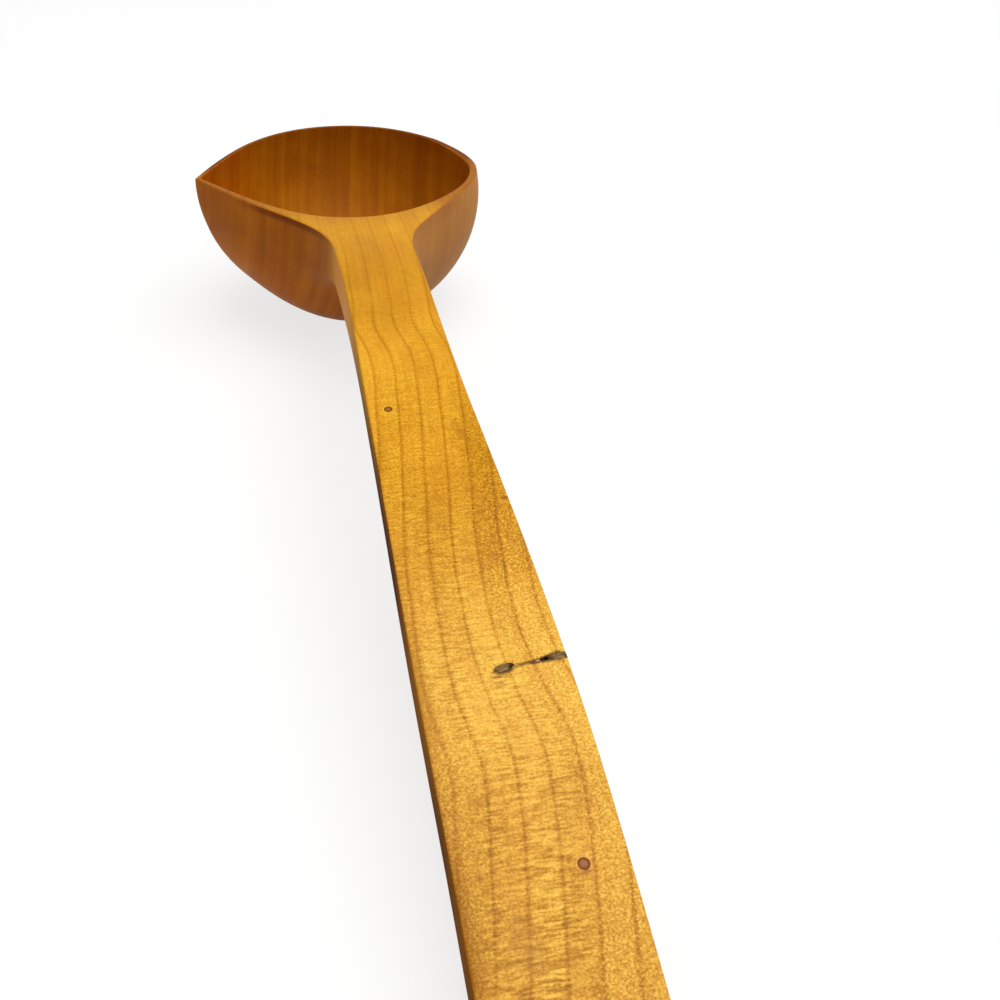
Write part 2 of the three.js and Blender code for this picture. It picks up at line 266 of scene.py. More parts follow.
# %% Rings around the outside
sides_across, fan_steps = 72, 40
rim_edge, handle_edge, far_edge_share = 0.7, 0.8, 0.5
fan_axis_x = lip[0]


def edge_drop(x):
    """How far the rounding reaches down; it grows along the neck."""
    return mix(rim_edge, handle_edge, ease(x, 45, 80))


def edge_width(x):
    """How far the rounding reaches in; it is narrower on the far rim."""
    return edge_drop(x) * mix(far_edge_share, 1, ease(x, -25, 3))


def ring_around(start, down):
    left, right = out_to_surface(start, np.array([[0, -1.0, 0], [0, 1.0, 0]]))
    middle = (left + right) / 2
    half_width = (right[1] - left[1]) / 2
    depth = np.linalg.norm(out_to_surface(middle, down[None])[0] - middle)
    angle = np.linspace(0, math.pi, sides_across + 1)[1:-1, None]
    direction = down * depth * np.sin(angle) - np.array([0, half_width, 0]) * np.cos(angle)
    direction /= np.linalg.norm(direction, axis=1)[:, None]
    return np.vstack([left, out_to_surface(middle, direction), right])


rings = []
for tilt in np.linspace(math.pi / 2, 0, fan_steps, endpoint=False):
    start = np.array([fan_axis_x, 0, rim_height - rim_edge])
    rings.append(ring_around(start, np.array([-math.sin(tilt), 0, -math.cos(tilt)])))

cove_start, cove_end = 28, 54
slices = np.concatenate([
    np.linspace(fan_axis_x, cove_start, 16, endpoint=False),
    np.linspace(cove_start, cove_end, 26, endpoint=False),
    np.linspace(cove_end, grip_end, 132, endpoint=False),
    grip_end + (last_reach - grip_end) * np.sin(np.radians(np.linspace(0, 89, 20))),
])
for x in slices:
    start = np.array([x, handle_middle(x), top_height(x) - edge_drop(x)])
    rings.append(ring_around(start, np.array([0, 0, -1.0])))
rings = np.array(rings)
print("Rings:", rings.shape)

# %% [markdown]
# The hollow is turned like a pot: rings of points at ever greater depth, closed by one
# point at the bottom. Its rings lie closest near the floor, where the wall turns most.
# Between lip and neck the photo shows a broader land, so the hollow keeps off it there.

# %% Rings of the hollow
hollow_columns, hollow_rings = 144, 40
hollow_fullness, hollow_bulge, edge_share = 0.95, 0.05, 0.4
broad_land_degrees, extra_land = -50, 0.9
deepest = rim_height - bowl_floor
headings = lip_heading + math.tau * np.arange(hollow_columns) / hollow_columns
hollow_edge = edge_share * land_width(headings)
off_broad_land = np.abs(np.degrees(off_handle(headings)) - broad_land_degrees)
broader_land = extra_land * (1 - ease(off_broad_land, 8, 42))


def hollow_ring(depth):
    share, rounding, forward, aside = wall_at(depth, deepest, hollow_fullness, hollow_bulge)
    rim_side = outer_reach(headings) - land_width(headings) - broader_land
    reach = mix(rim_side, round_reach - near_land, rounding) * share
    return np.column_stack([forward + reach * np.cos(headings), aside + reach * np.sin(headings),
                            rim_height - depth])


turns_down = np.linspace(0, math.pi / 2, hollow_rings, endpoint=False)
hollow = np.array([hollow_ring(mix(hollow_edge, deepest, math.sin(turn))) for turn in turns_down])
hollow_pole = np.array([*bottom_drift, bowl_floor])
print("Hollow rings:", hollow.shape)

# %% [markdown]
# Hand carvers ease every edge with a knife or sandpaper, and that thin round line catches
# the light. A Bevel modifier would struggle on such a dense mesh, so the rounding is laid
# as narrow strips of its own: a quarter round from the skin up to the top face. It is
# narrowest on the thin far rim and fullest along the handle, where hands rub.

# %% Eased edges around the top
edge_steps = 6


def open_side(loop):
    """The sideways direction, in plan, from the wood of a clockwise loop to the open air."""
    along = np.roll(loop, -1, axis=0) - np.roll(loop, 1, axis=0)
    normal = np.column_stack([-along[:, 1], along[:, 0]])
    return normal / np.linalg.norm(normal, axis=1)[:, None]


def eased_edge(loop, outward, radius):
    """Rows of points that roll from a loop on the side of the wood onto its top face."""
    radius = radius[:, None]
    centre = loop[:, :2] - outward * radius
    top = top_height(centre[:, 0]) - hair_inside
    rows = [loop]
    for angle in np.linspace(0, math.pi / 2, edge_steps + 1)[1:]:
        level = top + (1 - math.sin(angle)) * (loop[:, 2] - top)
        rows.append(np.column_stack([centre + outward * radius * math.cos(angle), level]))
    return np.array(rows)


outer_loop = np.vstack([rings[0], rings[fan_steps + 1:, -1], rings[fan_steps + 1:, 0][::-1]])
outer_edge = eased_edge(outer_loop, open_side(outer_loop[:, :2]), edge_width(outer_loop[:, 0]))
inner_edge = eased_edge(hollow[0], open_side(hollow[0][:, :2]), hollow_edge)
print("Edge rows:", outer_edge.shape, inner_edge.shape)

# %% [markdown]
# The top face is flat across and only bends along the handle. It has a hole in it, the
# mouth of the bowl, so its triangles come from a constrained Delaunay triangulation: the
# two edge loops are given as lines it must keep, with a few rows of points in between.

# %% The top face
rows_start, rows_end, rows_margin, weld_distance = 50, last_reach - 2, 1, 1e-5
row_shares = np.linspace(-0.84, 0.84, 9)
over_handle = [(x, handle_middle(x) + share * (handle_width(x) / 2 - rows_margin))
               for x in slices[(slices > rows_start) & (slices < rows_end)] for share in row_shares]


def loop_lines(first, count):
    return [(first + step, first + (step + 1) % count) for step in range(count)]


outer_count, inner_count = outer_edge.shape[1], inner_edge.shape[1]
face_points = [Vector(point[:2]) for point in (*outer_edge[-1], *inner_edge[-1], *over_handle)]
kept_lines = loop_lines(0, outer_count) + loop_lines(outer_count, inner_count)
found, _, triangles, *_ = delaunay_2d_cdt(face_points, kept_lines, [], 0, weld_distance)
top_points = np.array([(p.x, p.y, top_height(p.x) - hair_inside) for p in found])
line_ends = np.array([[face_points[end][:] for end in line] for line in kept_lines])


def on_wood(triangle):
    """Counts the lines between a triangle and far away: an odd number means wood."""
    x, y, _ = top_points[list(triangle)].mean(axis=0)
    (x0, y0), (x1, y1) = line_ends.transpose(1, 2, 0)
    spans = (y0 > y) != (y1 > y)
    crossing = x0[spans] + (y - y0[spans]) / (y1[spans] - y0[spans]) * (x1[spans] - x0[spans])
    return np.count_nonzero(crossing > x) % 2 == 1


top_triangles = [triangle for triangle in triangles if on_wood(triangle)]
print("Top face:", len(top_points), "points,", len(top_triangles), "triangles")

# %% [markdown]
# Now the patches are joined to one closed mesh. Each patch is a grid of points, and grids
# that meet share the positions of their border points, so merging doubles sews the seams.

# %% Sew the body together
body_points, body_faces = [], []


def grid_faces(rows, columns, closed=True, first=0):
    """Quads between rows of points; a closed grid joins its last column to its first."""
    corner = first + np.arange(rows * columns).reshape(rows, columns)
    if closed:
        corner = np.column_stack([corner, corner[:, 0]])
    quads = [corner[:-1, :-1], corner[:-1, 1:], corner[1:, 1:], corner[1:, :-1]]
    return np.stack(quads, axis=-1).reshape(-1, 4).tolist()


def add_patch(grid, closed=True):
    body_faces.extend(grid_faces(*grid.shape[:2], closed, len(body_points)))
    body_points.extend(grid.reshape(-1, 3))


add_patch(rings, closed=False)
body_faces.append(list(range(len(body_points) - rings.shape[1], len(body_points))))
add_patch(hollow)
pole = len(body_points)
body_points.append(hollow_pole)
body_faces.extend([*line, pole] for line in loop_lines(pole - hollow_columns, hollow_columns))
add_patch(outer_edge)
add_patch(inner_edge)
body_faces.extend([len(body_points) + corner for corner in triangle] for triangle in top_triangles)
body_points.extend(top_points)
print("Points before sewing:", len(body_points))

# %% [markdown]
# One function turns points in millimetres into a Blender object in metres. Merging
# doubles also drops the folded quads at the ends of the fan, and Recalculate Normals
# makes every face look outward, which the cuts that follow depend on.

# %% Make an object
sewing_distance = 0.001 * METRES


def make_piece(name, points, faces, place=Matrix.Identity(4)):
    mesh = bpy.data.meshes.new(name)
    mesh.from_pydata([tuple(point) for point in np.array(points) * METRES], [], faces)
    work = bmesh.new()
    work.from_mesh(mesh)
    bmesh.ops.remove_doubles(work, verts=work.verts, dist=sewing_distance)
    bmesh.ops.recalc_face_normals(work, faces=work.faces)
    open_edges = sum(not edge.is_manifold for edge in work.edges)
    work.to_mesh(mesh)
    work.free()
    mesh.shade_smooth()
    piece = bpy.data.objects.new(name, mesh)
    piece.matrix_world = place
    bpy.context.scene.collection.objects.link(piece)
    print(name, "faces:", len(mesh.polygons), "open edges:", open_edges)
    return piece


body = make_piece("carved_ladle", np.array(body_points) - foot_middle, body_faces)

# %% [markdown]
# Four small things grew into the handle: two pin knots, the stubs of thin twigs, and two
# streaks of bark that the tree closed over. A worm left a small open hole as well. Each
# sits in the top face, tilted with it and turned a little, so one function gives that
# place as a matrix.

# %% Places on the top face
def on_top_face(x, y, degrees=0.0):
    slope = float(top_height(x + 0.5) - top_height(x - 0.5))
    middle = (np.array([x, y, float(top_height(x))]) - foot_middle) * METRES
    return (Matrix.Translation(Vector(middle)) @ Matrix.Rotation(-math.atan(slope), 4, "Y")
            @ Matrix.Rotation(math.radians(degrees), 4, "Z"))


far_knot_spot, near_knot_spot = (146.7, -7.1), (263.6, 7.1)
far_knot_place, near_knot_place = on_top_face(*far_knot_spot), on_top_face(*near_knot_spot)
inner_pocket_place = on_top_face(224.0, 0.5, 13)
outer_pocket_place = on_top_face(222.6, right_edge(222.6) - 3.6, 3)
worm_hole_place = on_top_face(222.8, right_edge(222.8) - 4.8, 3)
print("Far knot at, mm:", [round(value / METRES, 1) for value in far_knot_place.translation])

# %% [markdown]
# A knot is a tapered peg, so it is turned: circles of changing radius, one above another.
# Its top is sunk a hair below the wood around it, with a shallow groove near its edge,
# where the twig's own bark has shrunk. The same circles, a little larger, cut its seat.

# %% Outlines of the knots
knot_depth, knot_taper, knot_sides = 3.0, 0.75, 28
seat_clearance, cutter_top = 0.08, 2.0
knot_top_profile = [  # share of the radius, level
    (1.0, -0.16), (0.96, -0.09), (0.86, -0.08), (0.76, -0.15), (0.64, -0.17), (0.5, -0.11),
    (0.3, -0.09), (0.1, -0.1)]


def stacked(loops):
    """A closed form over loops of points, each joined to the next, with a lid on both ends."""
    count, last = len(loops[0]), (len(loops) - 1) * len(loops[0])
    lids = [list(range(count)), list(range(last, last + count))]
    return np.vstack(loops), lids + grid_faces(len(loops), count)


def circle(radius, level):
    angle = math.tau * np.arange(knot_sides) / knot_sides
    return np.column_stack([radius * np.cos(angle), radius * np.sin(angle),
                            np.full(knot_sides, level)])


def knot_form(width):
    radius = width / 2
    return stacked([circle(radius * knot_taper, -knot_depth)]
                   + [circle(radius * share, level) for share, level in knot_top_profile])


def knot_seat(width):
    spread = (1 - knot_taper) * width / 2 / knot_depth
    return stacked([circle(width / 2 + spread * level + seat_clearance, level)
                    for level in (-knot_depth - seat_clearance, cutter_top)])


far_knot_width, near_knot_width = 1.8, 2.1
print("Knot seats, mm wide:", [round(width + 2 * seat_clearance, 2)
                               for width in (far_knot_width, near_knot_width)])

# %% [markdown]
# A bark pocket is long and thin across the grain. The inner one is pointed at both ends,
# the outer one runs out to the handle's edge and is cut off there with it. The outline is
# a closed line of points; pulled in towards its own centre line, it gives the loops of
# the sunken, uneven top. The worm hole is an oval with a slightly uneven edge.

# %% Outlines of the bark pockets and of the worm hole
pocket_depth, curve_steps, cut_past_edge = 2.2, 9, 0.8
hole_depth, hole_half_width, hole_sides = 2.5, 0.45, 24


def quarter(start, pull, end):
    t = np.linspace(0, 1, curve_steps)[:, None]
    start, pull, end = map(np.array, (start, pull, end))
    return (1 - t) ** 2 * start + 2 * (1 - t) * t * pull + t ** 2 * end


def pocket_outline(length, width, blunt, grow=0.0, past_end=0.0):
    half, start, end = width / 2 + grow, -grow, length + past_end
    right = [quarter((0, start), (half, start + width / 3), (half, start + width))]
    if blunt:
        straight = np.linspace(start + width, end, curve_steps)
        right.append(np.column_stack([np.full(curve_steps, half), straight])[1:])
    else:
        right.append(quarter((half, start + width), (half, end - width / 4), (0, end))[1:])
    right = np.vstack(right)
    left = right[::-1] * [-1, 1]
    return np.vstack([right, left[0 if blunt else 1:-1]])


def prism(outline, depth):
    return stacked([np.column_stack([outline, np.full(len(outline), level)])
                    for level in (-depth, cutter_top)])


def pocket_seat(length, width, blunt):
    past_end = cut_past_edge if blunt else seat_clearance
    return prism(pocket_outline(length, width, blunt, seat_clearance, past_end),
                 pocket_depth + seat_clearance)


hole_angles = math.tau * np.arange(hole_sides) / hole_sides
hole_edge = 1 + 0.07 * np.sin(3 * hole_angles + 0.6) + 0.05 * np.sin(5 * hole_angles)
hole_outline = np.column_stack([hole_half_width * np.cos(hole_angles) * hole_edge,
                                np.sin(hole_angles) * hole_edge])
inner_pocket = dict(length=4.2, width=1.5, blunt=False)
outer_pocket = dict(length=3.6, width=1.35, blunt=True)
print("Pocket outline points:", len(pocket_outline(**inner_pocket)),
      len(pocket_outline(**outer_pocket)))

# %% [markdown]
# All seats and the worm hole are cut in one go: the cutters are joined to one mesh and
# taken away by a Boolean modifier with the exact solver, and the result is kept as the
# body's own mesh. Its sharpest edges are then marked, so that smooth shading stops at the
# rims of the cuts but flows over the eased edges.

# %% Cut the seats
body_sharp_degrees = 35
cutters = [
    (far_knot_place, knot_seat(far_knot_width)),
    (near_knot_place, knot_seat(near_knot_width)),
    (inner_pocket_place, pocket_seat(**inner_pocket)),
    (outer_pocket_place, pocket_seat(**outer_pocket)),
    (worm_hole_place, prism(hole_outline, hole_depth)),
]
cutter_points, cutter_faces = [], []
for place, (points, faces) in cutters:
    cutter_faces.extend([len(cutter_points) + corner for corner in face] for face in faces)
    cutter_points.extend(np.array(place @ Vector(point * METRES)) / METRES for point in points)
cutter = make_piece("seat_cutters", cutter_points, cutter_faces)

cut = body.modifiers.new("seats", "BOOLEAN")
cut.operation, cut.solver, cut.object = "DIFFERENCE", "EXACT", cutter
carved = bpy.data.meshes.new_from_object(body.evaluated_get(bpy.context.evaluated_depsgraph_get()))
body.modifiers.clear()
body.data = carved
bpy.data.objects.remove(cutter)
carved.set_sharp_from_angle(angle=math.radians(body_sharp_degrees))
even = body.modifiers.new("even_shading", "WEIGHTED_NORMAL")
even.keep_sharp = True
print("Carved body faces:", len(carved.polygons))

# %% [markdown]
# The small pieces go into their seats. The outer pocket meets the eased edge of the
# handle, so its top bends down there with the same radius. A little waviness, from sines
# with fixed phases, keeps the bark from looking machined.

# %% Knots and bark in their seats
small_sharp_degrees = 50
bark_sunk, bark_trough, bark_waves = 0.1, 0.14, 0.05
end_share, short_of_edge, steepest_left = 0.6, 0.12, 0.05
far_knot = make_piece("far_pin_knot_wood", *knot_form(far_knot_width), far_knot_place)
near_knot = make_piece("near_pin_knot_wood", *knot_form(near_knot_width), near_knot_place)


def pocket_form(length, width, blunt):
    outline = pocket_outline(length, width, blunt)
    if blunt:
        outline[:, 1] = np.minimum(outline[:, 1], length - short_of_edge)
    spine_end = length if blunt else length - width * end_share
    along = np.clip(outline[:, 1], width * end_share, spine_end)
    spine = np.column_stack([np.zeros(len(outline)), along])
    loops = [np.column_stack([outline, np.full(len(outline), -pocket_depth)])]
    for share in (1.0, 0.93, 0.8, 0.6, 0.35, 0.08):
        ring = mix(spine, outline, share)
        level = -bark_sunk - bark_trough * math.sin(math.pi * share) ** 2
        level += (bark_waves * np.sin(5.1 * ring[:, 1] + 1)
                  * np.sin(7.3 * ring[:, 0] + 2 * ring[:, 1]))
        if blunt:
            over_edge = ring[:, 1] - (length - handle_edge)
            over_edge = np.clip(over_edge, 0, handle_edge - steepest_left)
            level -= handle_edge - np.sqrt(handle_edge ** 2 - over_edge ** 2)
        loops.append(np.column_stack([ring, level]))
    return stacked(loops)


inner_bark = make_piece("inner_pocket_bark", *pocket_form(**inner_pocket), inner_pocket_place)
outer_bark = make_piece("outer_pocket_bark", *pocket_form(**outer_pocket), outer_pocket_place)
for piece in (far_knot, near_knot, inner_bark, outer_bark):
    piece.data.set_sharp_from_angle(angle=math.radians(small_sharp_degrees))

# %% [markdown]
# Each new piece stands for one CAD node, which is hidden, and moves with the only body of the
# ladle. The table also lists the slot of the record for each piece.

# %% Tie the pieces to the imported model
for piece, node, slot in [
    (body, "carved_body", "blank_wood"),
    (far_knot, "far_pin_knot", "knot_wood"),
    (near_knot, "near_pin_knot", "knot_wood"),
    (inner_bark, "inner_bark_pocket", "grown_in_bark"),
    (outer_bark, "outer_bark_pocket", "grown_in_bark"),
]:
    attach(piece, "root")
    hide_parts(node)
print("Pieces tied:", len(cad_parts))

# %% [markdown]
# A material is a tree of nodes. Two helpers keep the lesson short: one turns a colour as
# painters write it, a hex value, into the linear light that Blender works in, and one
# adds any node, such as "Math ADD", with its settings, the points of its curve or ramp, and
# its inputs. Map Range turns one range of numbers into another; its span holds the start
# and end of the old range, and those of the new one where they are not 0 and 1.

# %% Helpers for materials
def colour(hex_value):
    channels = [int(hex_value[place:place + 2], 16) / 255 for place in (1, 3, 5)]
    return (*[value / 12.92 if value <= 0.04045 else ((value + 0.055) / 1.055) ** 2.4
              for value in channels], 1.0)


smooth = dict(interpolation_type="SMOOTHSTEP")


def add(tree, kind, inputs=(), span=(), stops=(), points=(), **settings):
    """Adds a node to a tree; an input is a number, a colour, a node or one of its outputs."""
    kind, *operation = kind.split()
    node = tree.nodes.new("ShaderNode" + kind)
    if operation:
        node.operation = operation[0]
    for name, value in settings.items():
        setattr(node, name, value)
    for number, (position, hex_value) in enumerate(stops):
        ramp = node.color_ramp.elements
        stop = ramp[number] if number < 2 else ramp.new(position)
        stop.position, stop.color = position, colour(hex_value)
    for number, point in enumerate(points):
        curve = node.mapping.curves[0].points
        if number < 2:
            curve[number].location = point
        else:
            curve.new(*point)
    if points:
        node.mapping.update()
    named = inputs if isinstance(inputs, dict) else dict(enumerate(inputs))
    span_names = ("From Min", "From Max", "To Min", "To Max")
    for socket, value in {**named, **dict(zip(span_names, span))}.items():
        if isinstance(value, bpy.types.Node):
            value = value.outputs[0]
        if isinstance(value, bpy.types.NodeSocket):
            tree.links.new(value, node.inputs[socket])
        else:
            node.inputs[socket].default_value = value
    return node


def new_tree(name):
    material = bpy.data.materials.new(name)
    material.use_nodes = True
    material.node_tree.nodes.clear()
    return material, material.node_tree


print("Handle amber in linear light:", [round(value, 3) for value in colour("#D9972E")])

# %% [markdown]
# The blank is oiled maple, carved and sanded smooth. Everything in it has a real size, so
# the material first turns Object coordinates into the same millimetres that shaped the
# ladle. Because the pattern is worked out in space, it runs on over edges and into the
# bowl, as it does in a real block of wood.

# %% Oiled carved maple: where a point lies in the blank
maple, wood = new_tree("oiled_carved_maple")
surface_place, to_millimetres = add(wood, "TexCoord"), (1 / METRES,) * 3
in_millimetres = add(wood, "VectorMath MULTIPLY_ADD", [
    surface_place.outputs["Object"], to_millimetres, tuple(foot_middle)])
x, y, z = add(wood, "SeparateXYZ", [in_millimetres]).outputs
blank_start, blank_end = -45.0, handle_reach
share_along = add(wood, "MapRange", [x], span=(blank_start, blank_end))


def along_the_blank(places, low=0.0, high=1.0):
    """Pairs of x and value, as points of a curve between 0 and 1, with its ends first."""
    points = [((place - blank_start) / (blank_end - blank_start), (value - low) / (high - low))
              for place, value in places]
    return [points[0], points[-1], *points[1:-1]]


print("Wood tree started:", maple.name)

# %% [markdown]
# The top face, the sides and the hollow of the bowl need tints of their own, so the tree
# works out early which is which. Seen from the middle of the mouth, the hollow faces back
# at you and the outside faces away, and how much a point faces up tells sides from tops.
# All of it comes from the surface's own direction, so it holds from every view.

# %% Top, sides and hollow
mouth_middle = (*bottom_drift, rim_height)
normal = surface_place.outputs["Normal"]
from_mouth = add(wood, "VectorMath SUBTRACT", [in_millimetres, mouth_middle])
away = add(wood, "VectorMath NORMALIZE", [from_mouth])
facing = add(wood, "VectorMath DOT_PRODUCT", [normal, away]).outputs["Value"]
_, facing_right, facing_up = add(wood, "SeparateXYZ", [normal]).outputs
in_hollow = add(wood, "MapRange", [facing], span=(-0.4, -0.8), **smooth)
on_side = add(wood, "MapRange", [facing_up], span=(0.55, 0.3), **smooth)
off_top = add(wood, "Math MAXIMUM", [in_hollow, on_side])
print("Mouth middle, mm:", mouth_middle)

# %% [markdown]
# A tree adds a layer every year, and each ends in a thin dark line. In this blank the
# layers stand on edge five to six millimetres apart, and they swing with the handle. A
# Float Curve holds that swing, measured across the handle at many places along it. The
# layers lean a little with depth, so on the bowl they run down as upright bands. A slow
# noise, drawn in waves per millimetre, lets them waver. A noise is mostly near 0.5, so the
# part between its weakest and strongest value is stretched over the range that is wanted.

# %% Growth layers
layer_width, grip_layer_width, layer_lean, layer_start = 5.0, 5.9, -0.1, 6.5


def drawn_noise(place, waves, detail=2, weakest=0.3, strongest=0.7, low=-1, high=1, roughness=0.5):
    """A noise with so many waves per unit of its place, stretched to run from low to high."""
    scaled = add(wood, "Mapping", {"Vector": place, "Scale": waves})
    noise = add(wood, "TexNoise", {
        "Vector": scaled, "Scale": 1, "Detail": detail, "Roughness": roughness})
    return add(wood, "MapRange", [noise], span=(weakest, strongest, low, high))


swing_places = [
    (-45, 3), (0, 2), (40, 1.5), (70, 1.2), (100, -0.4), (110, -1.4), (119, -0.4), (127, 0.3),
    (145, -1), (173, -4.6), (190, -7.1), (206, -8.6), (218, -9), (228, -8.4), (236, -7.2),
    (243, -6.6), (249, -7), (261, -8.8), (275, -11.4), (290, -14.2), (338, -18)]
top_places = [(x, float(top_height(x))) for x in np.linspace(blank_start, blank_end, 14)]
swing_mm, top_mm = (
    add(wood, "MapRange", [
        add(wood, "FloatCurve", {"Value": share_along}, points=along_the_blank(places, *ends)),
    ], span=(0, 1, *ends)) for places, ends in [(swing_places, (-20, 6)), (top_places, (0, 50))])
depth = add(wood, "Math SUBTRACT", [z, top_mm])

wobble = drawn_noise(in_millimetres, (0.06, 0.1, 0.1), weakest=0, strongest=1, low=-0.4, high=0.4)
straightened = add(wood, "Math SUBTRACT", [y, swing_mm])
leaned = add(wood, "Math MULTIPLY_ADD", [depth, layer_lean, straightened])
across = add(wood, "Math ADD", [leaned, wobble])
from_first = add(wood, "Math SUBTRACT", [across, layer_start])
spacing = add(wood, "MapRange", [x], span=(206.0, 240.0, layer_width, grip_layer_width), **smooth)
layers = add(wood, "Math DIVIDE", [from_first, spacing])
layer_number = add(wood, "Math FLOOR", [layers])
nearest_line = add(wood, "Math ROUND", [layers])
print("Layer places along the blank:", len(swing_places))

# %% [markdown]
# Each line is half a millimetre of dense late wood, with a softer shade beside it. It
# comes and goes along its length, so a slow noise, different for every line, fades it.
# Beside the main lines run faint ones, and each layer has a tint of its own. On the bowl,
# cut across its curve, the layers only show as soft bands.

# %% Growth lines and tints
line_core, line_border, shade_border = 0.02, 0.08, 0.18
shade_strength, strength_off_top = 0.6, 0.35
off_line = add(wood, "Math PINGPONG", [layers, 0.5])
thin_line = add(wood, "MapRange", [off_line], span=(line_border, line_core), **smooth)
line_shade = add(wood, "MapRange", [off_line], span=(shade_border, 0),
                 interpolation_type="SMOOTHERSTEP")
growth_line = add(wood, "Math MULTIPLY_ADD", [line_shade, shade_strength, thin_line])
line_on_top = add(wood, "MapRange", [off_top], span=(0, 1, 1, strength_off_top))

on_lines = add(wood, "CombineXYZ", [x, nearest_line])
line_fade = drawn_noise(on_lines, (1 / 16, 5.3, 1), detail=3, weakest=0.38, strongest=0.62,
                        low=0.7)
in_layers = add(wood, "CombineXYZ", [x, layers])
faint_line, soft_band = (
    drawn_noise(in_layers, waves, detail, weakest=0.33, strongest=0.67, roughness=0.6)
    for waves, detail in [((1 / 60, 5, 1), 3), ((1 / 45, 1.7, 1), 1)])
layer_random = add(wood, "TexWhiteNoise", {"W": layer_number}, noise_dimensions="1D")
layer_tint = add(wood, "MapRange", [layer_random.outputs["Value"]], span=(0, 1, -1.0, 1.0))
print("Growth line width, mm:", round((line_core + line_border) * layer_width, 2))

# %% [markdown]
# Finer figures cross the layers. Rays and curl show as short dark ripples across the
# handle, a quarter of a millimetre thick and a few millimetres long. Towards the edges
# they break up into a fine maze, and by the grip long dark streaks run between them. Maze
# and streaks are a noise that is folded at its middle, which turns soft hills into thin
# dark ridges. Real fibres are too fine to show, so they are drawn half a millimetre wide.

# %% Ripples, maze and fibres
bend_waves, bend_distance, noise_middle = 0.25, 0.6, 0.5
ripple_waves, fibre_waves = (1.9, 0.3, 0.3), (2.4, 1.9, 1.9)
bend_place = add(wood, "Mapping", {"Vector": in_millimetres, "Scale": (bend_waves,) * 3})
bend_noise = add(wood, "TexNoise", {"Vector": bend_place, "Scale": 1.0, "Detail": 1.0})
bent = add(wood, "VectorMath MULTIPLY_ADD", [
    bend_noise.outputs["Color"], (bend_distance,) * 3, in_millimetres])


def folded_noise(waves, widest):
    """Thin dark ridges, at -1, on a lighter ground."""
    hills = drawn_noise(bent, waves, detail=1, weakest=noise_middle - widest,
                        strongest=noise_middle + widest)
    folded = add(wood, "Math ABSOLUTE", [hills])
    return add(wood, "MapRange", [folded], span=(0, 1, -1.0, 0.6))


ripple = drawn_noise(bent, ripple_waves, weakest=0.36, strongest=0.62, high=0.8)
streak = folded_noise((0.85, 0.07, 0.07), 0.1)
maze = folded_noise((1.5, 1.25, 1.25), 0.16)
fibres = drawn_noise(in_millimetres, fibre_waves)
print("Waves of a ripple, mm:", [round(1 / waves, 2) for waves in ripple_waves])

# %% [markdown]
# These figures are faint at the neck and strong by the grip. Along the handle a curve
# gives their strength. Across it the ripples keep to the layers in the middle and the
# maze takes over beyond two borders that shift along the handle, as seen in the photo.

# %% Where ripples and maze are strong
streak_layer = 0.3


def past_border(near_bowl, near_grip, softness=0.9):
    """0 left of a border, which lies at one layer near the bowl and at one near the grip."""
    start, end = (
        add(wood, "MapRange", [x], span=(205, 245, near_bowl + shift, near_grip + shift), **smooth)
        for shift in (0, softness))
    return add(wood, "MapRange", [layers], span=(start, end), **smooth)


past_left, past_right = past_border(-4.0, -1.7), past_border(0.5, 1.3)
in_middle = add(wood, "Math SUBTRACT", [past_left, past_right])
patches = drawn_noise(in_millimetres, (0.05, 0.16, 0.16), detail=1, weakest=0.35, strongest=0.62,
                      low=0.5)
ripple_along, maze_along, streak_along, fibres_along, line_along = (
    add(wood, "FloatCurve", {"Value": share_along}, points=along_the_blank(places))
    for places in [
        [(-45, 0.1), (40, 0.15), (90, 0.2), (120, 0.25), (140, 0.3), (165, 0.4), (190, 0.6),
         (212, 0.65), (235, 0.9), (270, 1), (300, 0.8), (338, 0.5)],
        [(-45, 0), (100, 0.1), (135, 0.3), (152, 0.65), (170, 0.95), (205, 1), (222, 0.8),
         (250, 0.85), (338, 0.6)],
        [(-45, 0), (225, 0), (245, 0.3), (265, 1), (300, 1), (338, 0.4)],
        [(-45, 0.3), (60, 0.4), (120, 0.6), (160, 1), (338, 1)],
        [(-45, 0.4), (60, 0.4), (100, 0.7), (150, 0.95), (180, 1), (338, 1)],
    ])
ripple_across = add(wood, "MapRange", [in_middle], span=(0, 1, 0.25, 1.0))
maze_across = add(wood, "MapRange", [in_middle], span=(0, 1, 1.0, 0.3))
maze_side = add(wood, "MapRange", [past_right], span=(0, 1, 0.7, 1.0))
right_of_streaks = add(wood, "Math SUBTRACT", [layers, streak_layer])
off_streaks = add(wood, "Math ABSOLUTE", [right_of_streaks])
streak_across = add(wood, "MapRange", [off_streaks], span=(0.95, 0.6))
print("Curves of strength for ripples, maze, streaks, fibres and lines")
